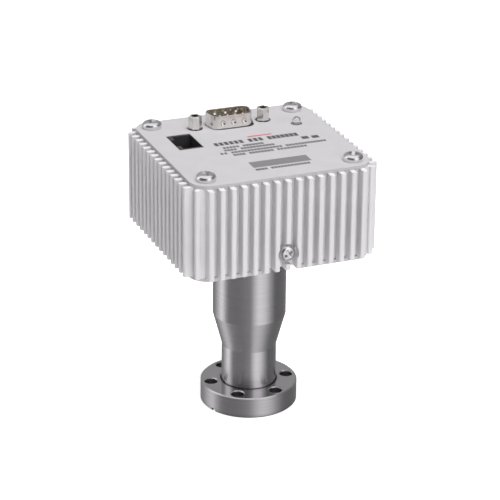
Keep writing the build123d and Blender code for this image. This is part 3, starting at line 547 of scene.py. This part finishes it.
def make_screws():
    """The four screws of the cover, and the side screw with its twin on the back."""
    spots = []
    for (x, y), turn in TOP_SCREW_TURNS:
        place = Vector((x * TOP_SCREW_SPACING / 2, y * TOP_SCREW_SPACING / 2, PLATE_TOP))
        spots.append(Matrix.Translation(place) @ turned_about("Z", turn))
    screw_set("top_screw_heads", spots, TOP_SCREW, ["top_screws"])
    low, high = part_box("side_screws")
    seat = Vector((0, low.y + SIDE_SCREW.head_h, (low.z + high.z) / 2))
    spots = []
    for side in (0, 180):
        out = turned_about("Z", side) @ Matrix.Translation(seat)
        spots.append(out @ turned_about("X", 90) @ turned_about("Z", SIDE_SCREW_TURN))
    screw_set("side_screw_heads", spots, SIDE_SCREW, ["side_screws"])


# The print on the cover: plain bars that stand for it, with places and sizes in millimetres

PRINT_THICKNESS = 0.012 * MM
TITLE_DASH = {"pitch": 1.7, "length": 1.35, "width": 2.9}
TITLE_Y = 2.8
TITLE_SPANS = ((-12.3, -1.5), (0.0, 5.6), (7.1, 18.3))
SMALL_DASH = {"pitch": 1.15, "length": 0.97, "width": 1.65}
# Each row of small dashes, as its place along Y and its spans along X
SMALL_ROWS = (
    (-1.1, ((-10.6, -4.6), (-3.4, 4.2))),
    (-3.4, ((-11.0, -6.4), (-5.0, 7.2))),
    (-5.9, ((-13.4, -10.6), (-9.4, 9.0), (10.2, 25.0))),
    (-8.3, ((-9.6, -5.2), (-3.9, 4.9), (6.1, 17.0))),
    (-23.3, ((-7.6, -3.4), (-2.2, 11.8))),
)
# Single bars: x, y, length, width
SQUARES = [(19.3, -1.2, 2.5, 2.4), (22.9, -1.5, 2.5, 2.4)]
FIELD = [(2.8, -18.9, 20.6, 5.2)]
RED_BAR = [(5.6, 6.1, 8.6, 1.0)]


def printed(name, bars, material):
    """Bars (x, y, length, width) in millimetres, a hair thick, on the cover's top."""
    maker = bmesh.new()
    thick = Vector((0, 0, PRINT_THICKNESS))
    corners = ((-1, -1), (1, -1), (1, 1), (-1, 1))
    for x, y, length, width in bars:
        ends = [(x + sx * length / 2, y + sy * width / 2) for sx, sy in corners]
        low = [maker.verts.new((end[0] * MM, end[1] * MM, PLATE_TOP)) for end in ends]
        high = [maker.verts.new(vert.co + thick) for vert in low]
        maker.faces.new(low[::-1])
        maker.faces.new(high)
        for k in range(4):
            maker.faces.new((low[k], low[(k + 1) % 4], high[(k + 1) % 4], high[k]))
    mesh_piece(name, maker, "cover_paint", material=material)


def dashes(start, stop, y, pitch, length, width):
    """Evenly spaced bars from start to stop along X."""
    count = round((stop - start) / pitch)
    middles = [start + (k + 0.5) * (stop - start) / count for k in range(count)]
    return [(x, y, length, width) for x in middles]


def make_print():
    """The title's dashes and squares, the small rows, the grey field and the red bar."""
    title = []
    for start, stop in TITLE_SPANS:
        title += dashes(start, stop, TITLE_Y, **TITLE_DASH)
    small = []
    for y, spans in SMALL_ROWS:
        for start, stop in spans:
            small += dashes(start, stop, y, **SMALL_DASH)
    printed("print_dark", title + SQUARES, ink("ink_dark", (0.065, 0.064, 0.067)))
    printed("print_field", FIELD, ink("ink_pale", (0.18, 0.176, 0.184)))
    printed("print_small", small, ink("ink_grey", (0.12, 0.118, 0.123)))
    printed("print_red", RED_BAR, ink("ink_red", (0.50, 0.13, 0.15)))


# The camera, fitted to the photograph

CAMERA_AZIMUTH = math.radians(-22.017)
CAMERA_ELEVATION = math.radians(23.391)
CAMERA_ROLL = math.radians(0.565)
CAMERA_DISTANCE = 787.48 * MM
CAMERA_TARGET = Vector((0, 0, 56.192 * MM))
CAMERA_SIDESTEP = 0.082 * MM
CAMERA_FOCAL = 165.2


def outward(turn, rise):
    """The direction at an angle round from the front to the right, and an angle up."""
    return Vector((
        math.sin(turn) * math.cos(rise),
        -math.cos(turn) * math.cos(rise),
        math.sin(rise),
    ))


def camera():
    data = bpy.data.cameras.new("camera")
    data.lens = CAMERA_FOCAL
    data.sensor_width = 36.0
    data.clip_start = 0.01
    data.clip_end = 20.0
    away = outward(CAMERA_AZIMUTH, CAMERA_ELEVATION)
    right = Vector((math.cos(CAMERA_AZIMUTH), math.sin(CAMERA_AZIMUTH), 0))
    up = away.cross(right)
    turned_right = right * math.cos(CAMERA_ROLL) + up * math.sin(CAMERA_ROLL)
    turned_up = up * math.cos(CAMERA_ROLL) - right * math.sin(CAMERA_ROLL)
    place = CAMERA_TARGET + away * CAMERA_DISTANCE + turned_right * CAMERA_SIDESTEP
    axes = Matrix((turned_right, turned_up, away)).transposed().to_4x4()
    made = link(bpy.data.objects.new("camera", data))
    made.matrix_world = Matrix.Translation(place) @ axes
    bpy.context.scene.camera = made


# The studio

# Soft square lamps: name, degrees round from the front, degrees up, watts. The watts began as a
# program's fit to the photograph's faces, and overhead, left and camera_side were changed.
LAMPS = (
    ("overhead", 0, 86, 18.6),
    ("front", 0, 20, 8.3),
    ("high_right", 60, 60, 7.6),
    ("left", -110, 30, 2.2),
    ("camera_side", -22, 30, 1.4),
)
LAMP_AIM = Vector((0, 0, 60 * MM))
LAMP_DISTANCE = 1.5
LAMP_SIZE = 0.8

FLOOR_RADIUS = 2.5
FLOOR_DROP = 0.01 * MM
FLOOR_GLOW = 0.8
BACKDROP = 1.2

# The room that only the metals mirror. Its walls have a lower and an upper half, each as
# (degrees round from the photograph's side, level), over a dark table and under a ceiling.
# A program fitted the lower wall's levels to the bands that the photograph shows on the tube, and
# they were thinned and rounded. The upper wall's were set one by one.
LOWER_WALL = (
    (-180, 0.32), (-140, 0.23), (-112, 0.67), (-96, 1.20), (-80, 0.47), (-70, 0.22), (-30, 0.23),
    (5, 0.33), (20, 0.82), (32, 1.06), (50, 0.90), (72, 0.39), (88, 0.15), (130, 0.18), (180, 0.32),
)
UPPER_WALL = (
    (-180, 0.40), (-122, 0.45), (-104, 1.25), (-84, 1.10), (-70, 0.20), (-40, 0.10), (0, 0.12),
    (14, 0.40), (28, 1.25), (52, 1.25), (66, 0.70), (85, 0.20), (130, 0.28), (180, 0.40),
)
TABLE = 0.26
TABLE_SHARE = 0.5
CEILING = 1.0
# Where one gives way to the next, as the height of a direction from -1 straight down to 1 up
TABLE_EDGE = (-0.5, -0.78)
WALL_SEAM = (-0.15, 0.1)
CEILING_EDGE = (0.68, 0.82)


def wall(nodes, share, levels):
    """A ramp of grey levels once round the room."""
    ramp = nodes.add("ShaderNodeValToRGB", {"Fac": share})
    stops = ramp.color_ramp.elements
    (_, first), *between, (_, last) = levels
    stops[0].color = grey(first)
    stops[1].color = grey(last)
    for degrees, level in between:
        stops.new(degrees / 360 + 0.5).color = grey(level)
    return ramp.outputs["Color"]


def room(nodes):
    """The colour of the mirrored room in each direction."""
    direction = nodes.add("ShaderNodeTexCoord").outputs["Generated"]
    facing = nodes.add(
        "ShaderNodeVectorRotate",
        {"Vector": direction, "Angle": -CAMERA_AZIMUTH},
        rotation_type="Z_AXIS",
    ).outputs["Vector"]
    axes = nodes.add("ShaderNodeSeparateXYZ", {"Vector": facing}).outputs
    forward = nodes.calculate("MULTIPLY", axes["Y"], -1.0)
    turn = nodes.calculate("ARCTAN2", axes["X"], forward)
    share = nodes.calculate("MULTIPLY_ADD", turn, 1 / (2 * math.pi), 0.5)
    height = axes["Z"]
    colour = nodes.blend(
        nodes.spread(height, 0, 1, *WALL_SEAM),
        wall(nodes, share, LOWER_WALL),
        wall(nodes, share, UPPER_WALL),
    )
    colour = nodes.blend(nodes.spread(height, 0, TABLE_SHARE, *TABLE_EDGE), colour, grey(TABLE))
    return nodes.blend(nodes.spread(height, 0, 1, *CEILING_EDGE), colour, grey(CEILING))


def studio_world():
    """White behind the gauge, and the room in its gloss; it gives no other light."""
    world = bpy.data.worlds.new("studio")
    world.use_nodes = True
    nodes = Nodes(world.node_tree)
    nodes.tree.nodes.clear()
    ray = nodes.add("ShaderNodeLightPath").outputs
    mirrored = nodes.add(
        "ShaderNodeBackground", {"Color": room(nodes), "Strength": ray["Is Glossy Ray"]}
    ).outputs["Background"]
    white = nodes.add(
        "ShaderNodeBackground", {"Color": grey(1), "Strength": BACKDROP}
    ).outputs["Background"]
    seen = nodes.add(
        "ShaderNodeMixShader", {"Fac": ray["Is Camera Ray"], FIRST: mirrored, SECOND: white}
    )
    nodes.add("ShaderNodeOutputWorld", {"Surface": seen.outputs["Shader"]})
    bpy.context.scene.world = world


def floor():
    """A plain white floor, a hair under the flange."""
    maker = bmesh.new()
    bmesh.ops.create_circle(maker, cap_ends=True, segments=96, radius=FLOOR_RADIUS)
    mesh = finished_mesh("floor", maker)
    mesh.materials.append(white_ground("floor_white", FLOOR_GLOW))
    made = link(bpy.data.objects.new("floor", mesh))
    made.location.z = -FLOOR_DROP
    made.visible_glossy = False


def lamp(name, turn, rise, power):
    """A square soft light that the metals don't mirror."""
    away = outward(math.radians(turn), math.radians(rise))
    data = bpy.data.lights.new(name, "AREA")
    data.shape = "SQUARE"
    data.size = LAMP_SIZE
    data.energy = power
    made = link(bpy.data.objects.new(name, data))
    made.location = LAMP_AIM + away * LAMP_DISTANCE
    made.rotation_mode = "QUATERNION"
    made.rotation_quaternion = away.to_track_quat("Z", "Y")
    made.visible_glossy = False


def studio():
    studio_world()
    floor()
    for row in LAMPS:
        lamp(*row)
    bpy.context.scene.view_settings.view_transform = "Standard"


dress_nodes()
make_screws()
make_print()
studio()
camera()
